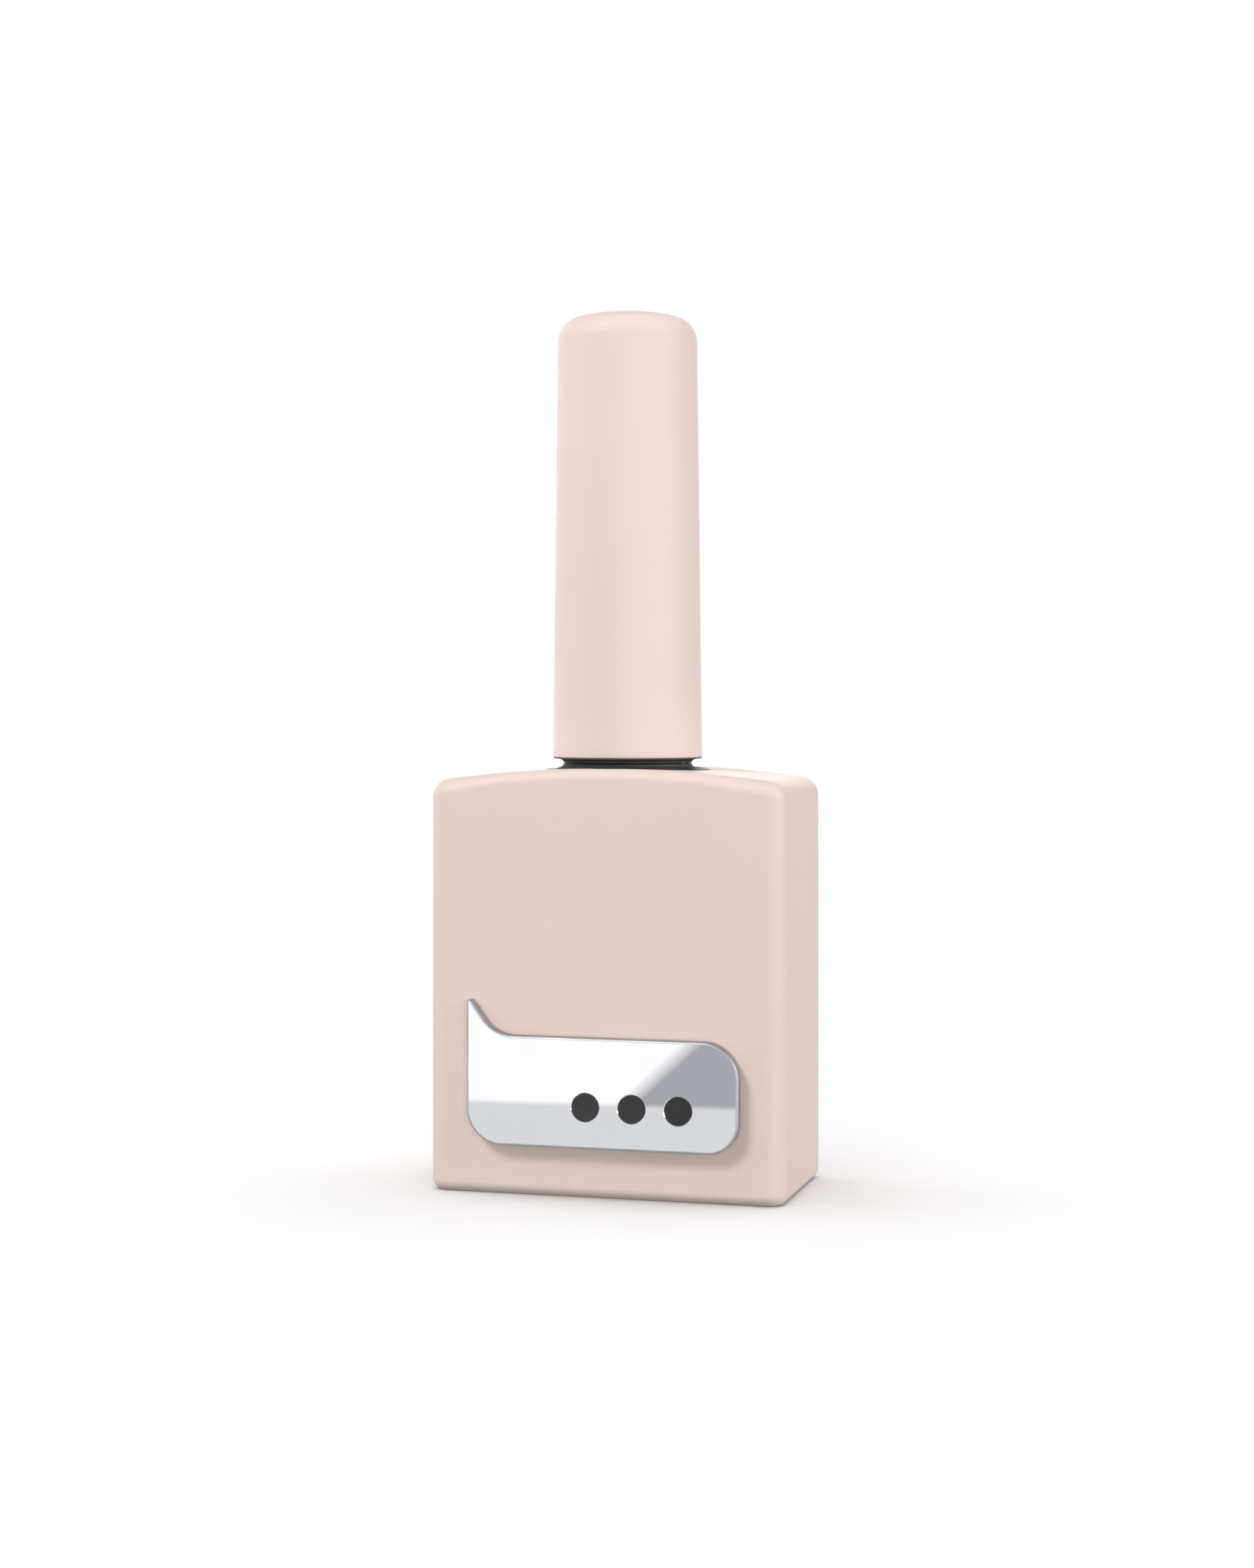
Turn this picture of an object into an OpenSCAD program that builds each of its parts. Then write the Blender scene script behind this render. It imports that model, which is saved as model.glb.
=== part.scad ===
// Nail polish bottle: a square lacquered bottle with a mirror badge, a long overcap on a black screw
// cap, an applicator brush, a sealing washer and two mixing balls.
// Millimetres, +Z up. The origin is the centre of the base, and the badge faces -Y.

/* [Bottle] */
// Width of the bottle
bottle_w = 36.5; // [35:0.5:38]
// Depth of the bottle
bottle_d = 18.6; // [18.2:0.2:21]
// Height of the shoulder's crown above the base
shoulder_h = 42.4; // [40:0.2:46]
// Radius of the shoulder's crown, seen from the front
crown_r = 124.5; // [100:0.5:200]
// Radius of the four vertical edges
edge_r = 1.8; // [1.6:0.1:3]
// Radius of the heel, where the walls meet the base
heel_r = 1.1; // [0.8:0.1:1.5]
// Radius of the shoulder's edge
shoulder_r = 1.6; // [1:0.1:1.6]
// Thickness of the glass walls
wall = 2.6; // [2:0.1:3]
// Thickness of the glass under the reservoir
floor_t = 3.5; // [2.5:0.1:4]

/* [Neck] */
// Height of the neck above the shoulder's crown
neck_h = 11.3; // [11:0.1:12]
// Radius of the neck between its threads
neck_r = 5.7; // [5.6:0.05:5.8]
// Radius of the neck's bore
neck_bore_r = 3.8; // [3.5:0.1:4]
// Radius over the crests of the neck's thread
thread_r = 6.2; // [6:0.05:6.2]
// Rise of the thread in one turn
pitch = 2.117; // [2.1:0.001:2.2]

/* [Overcap] */
// Radius of the overcap at its open end
overcap_bottom_r = 7.6; // [7.6:0.1:8]
// Radius of the overcap at its top
overcap_top_r = 7.1; // [7:0.1:7.5]
// Length of the overcap
overcap_len = 45.3; // [42:0.1:50]
// Radius of the overcap's top edge
overcap_edge_r = 2.4; // [1:0.1:3]
// Rise of the overcap's domed top
dome_rise = 0.6; // [0.3:0.1:1]

/* [Badge] */
// Left edge of the badge
badge_left = -13.7; // [-14.2:0.1:-12]
// Right edge of the badge
badge_right = 14; // [12:0.1:14.6]
// Lower edge of the badge
badge_bottom = 5.1; // [3.6:0.1:6]
// Upper edge of the badge
badge_top = 16; // [14.5:0.1:18]
// Height of the tail above the upper edge
tail_h = 3.4; // [2.5:0.1:4]
// Thickness of the badge's metal
badge_t = 1.2; // [0.8:0.1:1.5]
// Thickness of the adhesive film
tape_t = 0.25; // [0.2:0.05:0.4]

/* [Brush] */
// Height of the brush's tip above the base
tip_z = 8.4; // [8.2:0.1:9]
// Height of the stem's lower end above the base
stem_z = 23.5; // [22:0.5:26]
// Radius of the stem below its bead
stem_r = 1.7; // [1.6:0.05:1.8]
// Diameter of a mixing ball
ball_d = 4; // [3.5:0.1:4]

/* [Hidden] */
$fn = 96;

// colours, as seen
nude_pink = [0.90, 0.82, 0.78];
soft_black = [0.17, 0.17, 0.17];
mirror_silver = [0.84, 0.85, 0.87];
steel_grey = [0.62, 0.63, 0.65];

// small allowances
over = 1;            // how far a cutting shape runs past the surface that it cuts
slip = 0.1;          // gap round a piece that turns or slides in another
fit_gap = 0.02;      // gap round a piece that is pushed into another
buried = 0.3;        // how deep a thread's root sits inside its wall

// bottle
side_crown_r = 1000;                     // the shoulder is nearly flat from front to back
punt_depth = 0.5;
punt_r = 7.5;
label_t = 0.1;
label_r = 7;
cavity_w = bottle_w - 2 * wall;
cavity_d = bottle_d - 2 * wall;
cavity_h = shoulder_h - wall - floor_t;
cavity_edge_r = 2.4;
cavity_heel_r = 1.8;
front_y = -bottle_d / 2;

// neck and its thread
neck_top = shoulder_h + neck_h;
rim_r = 0.5;
thread_turns = 2;
thread_z = shoulder_h + 3.4;             // where the neck thread's first turn starts
thread_base = 0.62;                      // half the width of a thread at its root
thread_crest = 0.28;                     // half the width of a thread at its crest
thread_steps = 32;                       // segments in one turn of a thread
fade_steps = 8;                          // segments over which a thread's end runs out
fade_start = 0.25;                       // share of a segment's fade left at the very end

// overcap and inner cap, from the shoulder up
collar_top = shoulder_h + 0.38;
inner_cap_z = shoulder_h + 0.46;
overcap_z = shoulder_h + 1;
overcap_top = overcap_z + overcap_len;
seal_t = 1;
seal_r = neck_r + 0.3;
seal_top = neck_top + seal_t;
skirt_top = seal_top + 1.4;
skirt_r = overcap_bottom_r - 0.6;        // outside of the inner cap's skirt
waist_r = 6.55;                          // narrowest point of the black coved band
collar_r = 8.4;                          // edge of the collar's flange
flange_t = 0.15;
seat_z = shoulder_h - 0.35;              // floor of the shallow seat that holds the collar's flange
lip_r = overcap_bottom_r - 0.05;         // thin black lip that shows under the overcap
lip_t = 0.12;
entry_r = thread_r + slip;               // bore of the inner cap below its thread
entry_h = 1;
root_r = thread_r + 0.35;                // bore of the inner cap between its threads
crest_r = thread_r + 0.07;               // the inner cap's thread just clears the neck's
post_r = 3.4;                            // post that holds the brush stem
post_top = skirt_top + 7;
fin_t = 0.8;                             // fins centre the overcap round the post
fin_h = 4.2;
overcap_core_r = 6.3;                    // inside of the overcap above the inner cap
overcap_roof = 2.2;

// brush
plug_r = 2.2;                            // stem above its bead
socket_r = plug_r + 0.03;                // socket for the plug in the inner cap
seal_bore_r = plug_r + 0.05;             // the seal sits round the plug
bead_r = 2.6;
bead_top = neck_top - thread_turns * pitch - 0.2;
bead_h = 1;
plug_top = post_top - 1;
tip_r = 1.45;                            // stem at its lower end
tuft_r = 1;                              // tuft inside the stem
tuft_depth = 5;
bristle_tip_r = 0.7;                     // the bristles open from a blunt tip
bristle_end_r = 1.4;                     // to this radius over their rounded end
bristle_end_h = 2;
bristle_r = 1.6;                         // and are widest at their belly
belly_h = 6;                             // height of the belly above the tip
anchor_w = 2 * tuft_r - 0.1;             // flat metal anchor driven across the folded tuft
anchor_t = 0.3;
anchor_h = 1.2;
anchor_z = stem_z + 3;

// mixing balls, each on its own lane either side of the brush
ball_r = ball_d / 2;
ball_z = floor_t + ball_r + 0.03;
lane_y = 3.6;
ball_1_x = -10;
ball_2_x = 9;

// badge
corner_tr = 3.6;
corner_br = 3.1;
corner_bl = 3.6;
sweep_r = 3.9;                           // hollow curve between the tail and the upper edge
sweep_angle = 55;                        // slope of the tail's inner edge
tail_tip = 0.5;                          // width of the tail's blunt tip
inlay_r = 1.4;
inlay_pitch = 4.7;
inlay_t = 0.35;
inlay_x = 3.3;                           // middle dot
inlay_z = 9.2;

// Outline with rounded lower corners and a crowned top whose ends are rounded into the sides.
module crowned_outline(w, h, heel, shoulder, crown) {
    side_x = w / 2 - shoulder;
    corner_z = h - crown + sqrt(pow(crown - shoulder, 2) - pow(side_x, 2));
    meet_x = side_x * crown / (crown - shoulder);
    intersection() {
        translate([0, h - crown]) circle(crown);
        translate([-meet_x, heel]) square([2 * meet_x, h - heel]);
    }
    translate([-w / 2, heel]) square([w, corner_z - heel]);
    translate([heel - w / 2, 0]) square([w - 2 * heel, 2 * heel]);
    for (side = [-1, 1]) {
        translate([side * side_x, corner_z]) circle(shoulder);
        translate([side * (w / 2 - heel), heel]) circle(heel);
    }
}

// Rectangle with four round corners.
module plan_outline(w, d, r) {
    square([w - 2 * r, d], center = true);
    square([w, d - 2 * r], center = true);
    for (x = [-1, 1], y = [-1, 1]) {
        translate([x * (w / 2 - r), y * (d / 2 - r)]) circle(r);
    }
}

// Crowned block standing on z = 0.
module crowned_block(w, d, h, edge, heel, shoulder) {
    intersection() {
        linear_extrude(h + over) plan_outline(w, d, edge);
        translate([0, d / 2 + over, 0]) rotate([90, 0, 0])
            linear_extrude(d + 2 * over) crowned_outline(w, h, heel, shoulder, crown_r);
        translate([-w / 2 - over, 0, 0]) rotate([90, 0, 90])
            linear_extrude(w + 2 * over) crowned_outline(d, h, heel, shoulder, side_crown_r);
    }
}

// Points of a thread's four-sided section, swept up a helix. The section shrinks to its root at both ends.
function thread_height(i, steps) =
    min(1, (i + fade_start) / fade_steps, (steps - i + fade_start) / fade_steps);
function thread_points(root, crest, z, turns) = [
    for (i = [0:turns * thread_steps])
        let (
            angle = i * 360 / thread_steps,
            axis_z = z + pitch * i / thread_steps,
            tip = root + (crest - root) * thread_height(i, turns * thread_steps)
        )
        for (corner = [[root, -thread_base], [tip, -thread_crest], [tip, thread_crest], [root, thread_base]])
            [corner[0] * cos(angle), corner[0] * sin(angle), axis_z + corner[1]]
];

// Helical thread ridge. It stands outwards where crest is more than root, and inwards where it is less.
module thread(root, crest, z, turns) {
    last = turns * thread_steps;
    outwards = crest > root;
    ring = function (i) [for (k = [0:3]) 4 * i + k];
    flip = function (face) outwards ? face : [for (k = [len(face) - 1:-1:0]) face[k]];
    sides = [
        for (i = [0:last - 1], k = [0:3])
            let (a = ring(i)[k], b = ring(i)[(k + 1) % 4], c = ring(i + 1)[(k + 1) % 4], d = ring(i + 1)[k])
            each [flip([a, b, c]), flip([a, c, d])]
    ];
    first_end = flip([3, 2, 1, 0]);
    last_end = flip(ring(last));
    polyhedron(thread_points(root, crest, z, turns), concat(sides, [first_end, last_end]), convexity = 10);
}

// A concave quarter ellipse between a point on the waist and a point further out.
function cove(waist, waist_z, edge, edge_z, steps = 8) = [
    for (i = [0:steps])
        let (angle = 90 * i / steps)
        [edge - (edge - waist) * cos(angle), waist_z + (edge_z - waist_z) * sin(angle)]
];

module bottle() {
    color(nude_pink)
    difference() {
        union() {
            difference() {
                crowned_block(bottle_w, bottle_d, shoulder_h, edge_r, heel_r, shoulder_r);
                translate([0, 0, seat_z]) cylinder(r = collar_r + fit_gap, h = shoulder_h);
            }
            translate([0, 0, shoulder_h - over]) cylinder(r = neck_r, h = neck_h + over - rim_r);
            translate([0, 0, neck_top - rim_r]) cylinder(r = neck_r - rim_r, h = rim_r);
            translate([0, 0, neck_top - rim_r]) rotate_extrude() translate([neck_r - rim_r, 0]) circle(rim_r);
            thread(neck_r - buried, thread_r, thread_z, thread_turns);
        }
        translate([0, 0, floor_t])
            crowned_block(cavity_w, cavity_d, cavity_h, cavity_edge_r, cavity_heel_r, shoulder_r);
        translate([0, 0, shoulder_h - wall - over]) cylinder(r = neck_bore_r, h = neck_h + wall + 2 * over);
        translate([0, 0, -over]) cylinder(r = punt_r, h = punt_depth + over);
    }
}

module neck_collar() {
    color(soft_black)
    rotate_extrude() polygon(concat(
        [[neck_r + fit_gap, seat_z], [neck_r + fit_gap, collar_top]],
        cove(waist_r, collar_top, collar_r, seat_z + flange_t),
        [[collar_r, seat_z]]
    ));
}

// Outline of the badge, seen from the front.
module badge_outline() {
    sweep_h = sweep_r * (1 - cos(sweep_angle));
    sweep_start = badge_left + tail_tip + (tail_h - sweep_h) / tan(sweep_angle);
    sweep_end = sweep_start + sweep_r * sin(sweep_angle);
    difference() {
        polygon([
            [badge_left, badge_top - corner_bl],
            [sweep_end, badge_top - corner_bl],
            [sweep_end, badge_top],
            [sweep_start, badge_top + sweep_h],
            [badge_left + tail_tip, badge_top + tail_h],
            [badge_left, badge_top + tail_h]
        ]);
        translate([sweep_end, badge_top + sweep_r]) circle(sweep_r);
    }
    translate([badge_left + corner_bl, badge_bottom + corner_bl]) circle(corner_bl);
    translate([badge_right - corner_br, badge_bottom + corner_br]) circle(corner_br);
    translate([badge_right - corner_tr, badge_top - corner_tr]) circle(corner_tr);
    translate([badge_left + corner_bl, badge_bottom])
        square([badge_right - badge_left - corner_bl - corner_br, corner_bl]);
    translate([badge_left, badge_bottom + corner_bl])
        square([badge_right - badge_left - corner_tr, badge_top - badge_bottom - corner_bl]);
    translate([badge_right - corner_tr, badge_bottom + corner_br])
        square([corner_tr, badge_top - badge_bottom - corner_br - corner_tr]);
}

// Layer of the badge between two distances in front of the glass.
module badge_layer(from, to) {
    translate([0, front_y - from, 0]) rotate([90, 0, 0]) linear_extrude(to - from) children();
}

module inlay_dots(r) {
    for (i = [-1:1]) {
        translate([inlay_x + i * inlay_pitch, inlay_z]) circle(r);
    }
}

module badge_tape() {
    color("white") badge_layer(0, tape_t) badge_outline();
}

module badge() {
    color(mirror_silver)
    difference() {
        badge_layer(tape_t, tape_t + badge_t) badge_outline();
        badge_layer(tape_t + badge_t - inlay_t, tape_t + badge_t + over) inlay_dots(inlay_r + fit_gap);
    }
}

module badge_inlay() {
    color(soft_black) badge_layer(tape_t + badge_t - inlay_t, tape_t + badge_t) inlay_dots(inlay_r);
}

module base_label() {
    color("white") translate([0, 0, punt_depth - label_t]) cylinder(r = label_r, h = label_t);
}

module cap_seal() {
    color("white")
    translate([0, 0, neck_top]) difference() {
        cylinder(r = seal_r, h = seal_t);
        translate([0, 0, -over]) cylinder(r = seal_bore_r, h = seal_t + 2 * over);
    }
}

module inner_cap() {
    color(soft_black) {
        difference() {
            union() {
                rotate_extrude() polygon(concat(
                    [[0, inner_cap_z]],
                    cove(waist_r, inner_cap_z, lip_r, overcap_z - lip_t),
                    [[lip_r, overcap_z], [skirt_r, overcap_z], [skirt_r, skirt_top], [0, skirt_top]]
                ));
                translate([0, 0, skirt_top]) cylinder(r = post_r, h = post_top - skirt_top);
                for (turn = [0:90:270]) {
                    rotate(turn) translate([0, -fin_t / 2, skirt_top])
                        cube([overcap_core_r - slip, fin_t, fin_h]);
                }
            }
            translate([0, 0, inner_cap_z - over]) cylinder(r = entry_r, h = entry_h + 2 * over);
            translate([0, 0, inner_cap_z + entry_h])
                cylinder(r = root_r, h = seal_top - inner_cap_z - entry_h);
            translate([0, 0, seal_top - over]) cylinder(r = socket_r, h = plug_top - seal_top + over);
        }
        thread(root_r + buried / 2, crest_r, thread_z + pitch / 2, thread_turns - 0.5);
    }
}

module overcap() {
    edge_z = overcap_top - dome_rise - overcap_edge_r;
    dome_half = overcap_top_r - overcap_edge_r;
    dome_r = (pow(dome_half, 2) + pow(dome_rise, 2)) / (2 * dome_rise);
    color(nude_pink)
    difference() {
        rotate_extrude() intersection() {
            union() {
                polygon([[0, overcap_z], [overcap_bottom_r, overcap_z], [overcap_top_r, edge_z], [0, edge_z]]);
                translate([dome_half, edge_z]) circle(overcap_edge_r);
                translate([0, edge_z - over]) square([dome_half, overcap_edge_r + over]);
                intersection() {
                    translate([0, overcap_top - dome_r]) circle(dome_r);
                    translate([0, edge_z]) square([dome_half, overcap_top - edge_z]);
                }
            }
            translate([0, overcap_z]) square([overcap_bottom_r, overcap_len]);
        }
        translate([0, 0, overcap_z - over]) cylinder(r = skirt_r + fit_gap, h = skirt_top - overcap_z + over);
        translate([0, 0, skirt_top - over])
            cylinder(r = overcap_core_r, h = overcap_top - overcap_roof - skirt_top + over);
    }
}

module brush_stem() {
    color(soft_black)
    difference() {
        union() {
            translate([0, 0, stem_z]) cylinder(r1 = tip_r, r2 = stem_r, h = bead_top - bead_h - stem_z);
            translate([0, 0, bead_top - bead_h]) cylinder(r1 = stem_r, r2 = bead_r, h = bead_h / 2);
            translate([0, 0, bead_top - bead_h / 2]) cylinder(r = bead_r, h = bead_h / 2);
            translate([0, 0, bead_top]) cylinder(r = plug_r, h = plug_top - bead_top - slip);
        }
        translate([0, 0, stem_z - over]) cylinder(r = tuft_r + fit_gap, h = tuft_depth + over);
    }
}

module brush_bristles() {
    end_z = tip_z + bristle_end_h;
    belly_z = tip_z + belly_h;
    color(soft_black)
    difference() {
        union() {
            translate([0, 0, tip_z]) cylinder(r1 = bristle_tip_r, r2 = bristle_end_r, h = bristle_end_h);
            translate([0, 0, end_z]) cylinder(r1 = bristle_end_r, r2 = bristle_r, h = belly_z - end_z);
            translate([0, 0, belly_z]) cylinder(r1 = bristle_r, r2 = tuft_r, h = stem_z - belly_z);
            translate([0, 0, stem_z]) cylinder(r = tuft_r, h = tuft_depth - slip);
        }
        translate([-over - tuft_r, -anchor_t / 2 - fit_gap, anchor_z - fit_gap])
            cube([2 * (tuft_r + over), anchor_t + 2 * fit_gap, anchor_h + 2 * fit_gap]);
    }
}

module tuft_anchor() {
    color(steel_grey) translate([-anchor_w / 2, -anchor_t / 2, anchor_z]) cube([anchor_w, anchor_t, anchor_h]);
}

module mixing_ball(x, y) {
    color(steel_grey) translate([x, y, ball_z]) sphere(ball_r);
}

bottle();
neck_collar();
badge_tape();
badge();
badge_inlay();
base_label();
cap_seal();
inner_cap();
overcap();
brush_stem();
brush_bristles();
tuft_anchor();
mixing_ball(ball_1_x, -lane_y);  // mixing_ball_1
mixing_ball(ball_2_x, lane_y);  // mixing_ball_2
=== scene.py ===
"""Looks of a nail polish bottle: lacquered glass, mirror badge, soft-touch cap and brush."""

import math
import random

import bmesh
import bpy
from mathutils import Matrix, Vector


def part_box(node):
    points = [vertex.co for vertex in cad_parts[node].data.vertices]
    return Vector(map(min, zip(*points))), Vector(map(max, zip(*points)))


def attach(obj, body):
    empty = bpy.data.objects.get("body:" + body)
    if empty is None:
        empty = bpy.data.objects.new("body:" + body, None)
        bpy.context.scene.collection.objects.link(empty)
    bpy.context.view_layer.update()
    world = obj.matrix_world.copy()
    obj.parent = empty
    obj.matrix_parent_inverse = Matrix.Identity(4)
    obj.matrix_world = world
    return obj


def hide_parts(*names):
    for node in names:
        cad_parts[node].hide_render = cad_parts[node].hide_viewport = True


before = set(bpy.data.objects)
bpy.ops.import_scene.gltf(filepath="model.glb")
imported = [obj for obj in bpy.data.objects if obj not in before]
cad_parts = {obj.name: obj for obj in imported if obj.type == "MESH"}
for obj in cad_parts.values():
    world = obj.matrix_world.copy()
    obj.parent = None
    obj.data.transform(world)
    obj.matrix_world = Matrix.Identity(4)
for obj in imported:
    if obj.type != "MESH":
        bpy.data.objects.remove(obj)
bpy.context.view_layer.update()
MM = 0.001


# ---------------------------------------------------------------- small helpers

def linear(red, green, blue):
    """An sRGB colour, 0 to 255, as the linear colour that shaders take."""
    return tuple(
        c / 12.92 if c <= 0.04045 else ((c + 0.055) / 1.055) ** 2.4
        for c in (red / 255, green / 255, blue / 255)
    ) + (1.0,)


def arc(centre_x, centre_z, radius, start, end, steps):
    """Points of an arc from start to end, in degrees, both ends included."""
    points = []
    for i in range(steps + 1):
        angle = math.radians(start + (end - start) * i / steps)
        points.append((centre_x + radius * math.cos(angle), centre_z + radius * math.sin(angle)))
    return points


def link(mesh_name, bm, materials):
    """Makes an object of a bmesh in millimetres, smooth except at sharp edges."""
    bmesh.ops.scale(bm, vec=(MM, MM, MM), verts=bm.verts)
    bmesh.ops.recalc_face_normals(bm, faces=bm.faces)
    mesh = bpy.data.meshes.new(mesh_name)
    bm.to_mesh(mesh)
    bm.free()
    for material in materials:
        mesh.materials.append(material)
    mesh.shade_smooth()
    obj = bpy.data.objects.new(mesh_name, mesh)
    bpy.context.scene.collection.objects.link(obj)
    return obj


def sharpen(obj, degrees):
    """Marks edges over an angle as sharp, beside those that are already."""
    marked = [edge.index for edge in obj.data.edges if edge.use_edge_sharp]
    obj.data.set_sharp_from_angle(angle=math.radians(degrees))
    for index in marked:
        obj.data.edges[index].use_edge_sharp = True
    return obj


def bridge(bm, lower, upper, material=0):
    """Faces between two rings with the same number of vertices."""
    count = len(lower)
    faces = []
    for i in range(count):
        j = (i + 1) % count
        face = bm.faces.new((lower[i], lower[j], upper[j], upper[i]))
        face.material_index = material
        faces.append(face)
    return faces


def close(bm, ring, centre, material=0):
    """Fan of triangles from a ring to a point."""
    tip = bm.verts.new(centre)
    for i in range(len(ring)):
        face = bm.faces.new((ring[i], ring[(i + 1) % len(ring)], tip))
        face.material_index = material


def lathe(name, profile, material, segments=128):
    """Solid of revolution round Z from a closed loop of (radius, height)."""
    bm = bmesh.new()
    rings = []
    for radius, height in profile:
        if radius == 0:
            rings.append([bm.verts.new((0, 0, height))])
        else:
            rings.append([
                bm.verts.new((
                    radius * math.cos(2 * math.pi * i / segments),
                    radius * math.sin(2 * math.pi * i / segments),
                    height,
                ))
                for i in range(segments)
            ])
    for k, lower in enumerate(rings):
        upper = rings[(k + 1) % len(rings)]
        if len(lower) == 1 and len(upper) == 1:
            continue
        for i in range(segments):
            j = (i + 1) % segments
            if len(lower) == 1:
                corners = (lower[0], upper[j], upper[i])
            elif len(upper) == 1:
                corners = (lower[i], lower[j], upper[0])
            else:
                corners = (lower[i], lower[j], upper[j], upper[i])
            bm.faces.new(corners)
    return link(name, bm, [material])


def thread(bm, root, crest, start_z, turns, material=0, steps=64, fade=14):
    """Helical ridge with rounded flanks that fades out at both ends.

    It points inwards where crest is less than root. fade is in steps, like the turn's division.
    """
    section = [(0.0, -0.62), (0.72, -0.36), (1.0, -0.2), (1.0, 0.2), (0.72, 0.36), (0.0, 0.62)]
    rings = []
    last = int(turns * steps)
    for i in range(last + 1):
        angle = 2 * math.pi * i / steps
        height = min(1, (i + 0.25) / fade, (last - i + 0.25) / fade)
        height = math.sin(height * math.pi / 2)
        ring = []
        for out, along in section:
            radius = root + (crest - root) * out * height
            ring.append(bm.verts.new((
                radius * math.cos(angle),
                radius * math.sin(angle),
                start_z + pitch * i / steps + along,
            )))
        rings.append(ring)
    for lower, upper in zip(rings, rings[1:]):
        bridge(bm, lower, upper, material)
    for ring in (rings[0], rings[-1]):
        bm.faces.new(ring).material_index = material


# ---------------------------------------------------------------- materials

def new_material(name):
    material = bpy.data.materials.new(name)
    material.use_nodes = True
    nodes = material.node_tree.nodes
    return material, nodes, material.node_tree.links, nodes["Principled BSDF"]


def noise(nodes, links, size_mm, detail=3.0, roughness=0.5, stretch=(1, 1, 1)):
    """Noise whose features are about size_mm across, in the piece's own space."""
    coordinates = nodes.new("ShaderNodeTexCoord")
    mapping = nodes.new("ShaderNodeMapping")
    mapping.inputs["Scale"].default_value = tuple(1000 / size_mm * s for s in stretch)
    texture = nodes.new("ShaderNodeTexNoise")
    texture.inputs["Scale"].default_value = 1.0
    texture.inputs["Detail"].default_value = detail
    texture.inputs["Roughness"].default_value = roughness
    links.new(coordinates.outputs["Object"], mapping.inputs["Vector"])
    links.new(mapping.outputs["Vector"], texture.inputs["Vector"])
    return texture.outputs["Fac"]


def remap(nodes, links, value, low, high, from_low=0.3, from_high=0.7):
    ranged = nodes.new("ShaderNodeMapRange")
    ranged.inputs["From Min"].default_value = from_low
    ranged.inputs["From Max"].default_value = from_high
    ranged.inputs["To Min"].default_value = low
    ranged.inputs["To Max"].default_value = high
    links.new(value, ranged.inputs["Value"])
    return ranged.outputs["Result"]


def two_tone(nodes, links, factor, first, second):
    mix = nodes.new("ShaderNodeMix")
    mix.data_type = "RGBA"
    mix.inputs["A"].default_value = first
    mix.inputs["B"].default_value = second
    links.new(factor, mix.inputs["Factor"])
    return mix.outputs["Result"]


def bump(nodes, links, height, depth_mm, before=None):
    node = nodes.new("ShaderNodeBump")
    node.inputs["Strength"].default_value = 1.0
    node.inputs["Distance"].default_value = depth_mm * MM
    links.new(height, node.inputs["Height"])
    if before:
        links.new(before, node.inputs["Normal"])
    return node.outputs["Normal"]


def coated(
    name, tone, shade, rough, grain_mm, grain_depth, peel_mm, peel_depth, sheen=0.0, specular=0.5
):
    """An opaque coating: slight mottling, uneven gloss, orange peel and a fine grain."""
    material, nodes, links, shader = new_material(name)
    cloud = remap(nodes, links, noise(nodes, links, 9.0, 2.0), 0, 1)
    links.new(two_tone(nodes, links, cloud, tone, shade), shader.inputs["Base Color"])
    smear = noise(nodes, links, 2.5, 4.0)
    links.new(remap(nodes, links, smear, rough[0], rough[1]), shader.inputs["Roughness"])
    peel = bump(nodes, links, noise(nodes, links, peel_mm, 1.0), peel_depth)
    grain = bump(nodes, links, noise(nodes, links, grain_mm, 2.0), grain_depth, peel)
    links.new(grain, shader.inputs["Normal"])
    shader.inputs["Specular IOR Level"].default_value = specular
    shader.inputs["Sheen Weight"].default_value = sheen
    shader.inputs["Sheen Roughness"].default_value = 0.5
    return material


def moulded(name, tone, shade, rough, grain_mm=0.08, grain_depth=0.002, specular=0.5):
    """Moulded plastic or glass: near black, with a faint grain and uneven gloss."""
    material, nodes, links, shader = new_material(name)
    flow = remap(nodes, links, noise(nodes, links, 3.0, 3.0, stretch=(1, 1, 0.4)), 0, 1)
    links.new(two_tone(nodes, links, flow, tone, shade), shader.inputs["Base Color"])
    gloss = remap(nodes, links, noise(nodes, links, 0.7, 4.0), rough[0], rough[1])
    links.new(gloss, shader.inputs["Roughness"])
    grain = bump(nodes, links, noise(nodes, links, grain_mm, 2.0), grain_depth)
    links.new(grain, shader.inputs["Normal"])
    shader.inputs["Specular IOR Level"].default_value = specular
    return material


def polished(name, tone, shade, rough, wave_mm, wave_depth, hairline=(1, 1, 1)):
    """Polished metal: faint hairlines in its gloss and a slight waviness."""
    material, nodes, links, shader = new_material(name)
    shader.inputs["Metallic"].default_value = 1.0
    tarnish = remap(nodes, links, noise(nodes, links, 5.0, 2.0), 0, 1)
    links.new(two_tone(nodes, links, tarnish, tone, shade), shader.inputs["Base Color"])
    lines = noise(nodes, links, 0.15, 3.0, stretch=hairline)
    links.new(remap(nodes, links, lines, rough[0], rough[1]), shader.inputs["Roughness"])
    wave = bump(nodes, links, noise(nodes, links, wave_mm, 1.0), wave_depth)
    links.new(wave, shader.inputs["Normal"])
    return material


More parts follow.
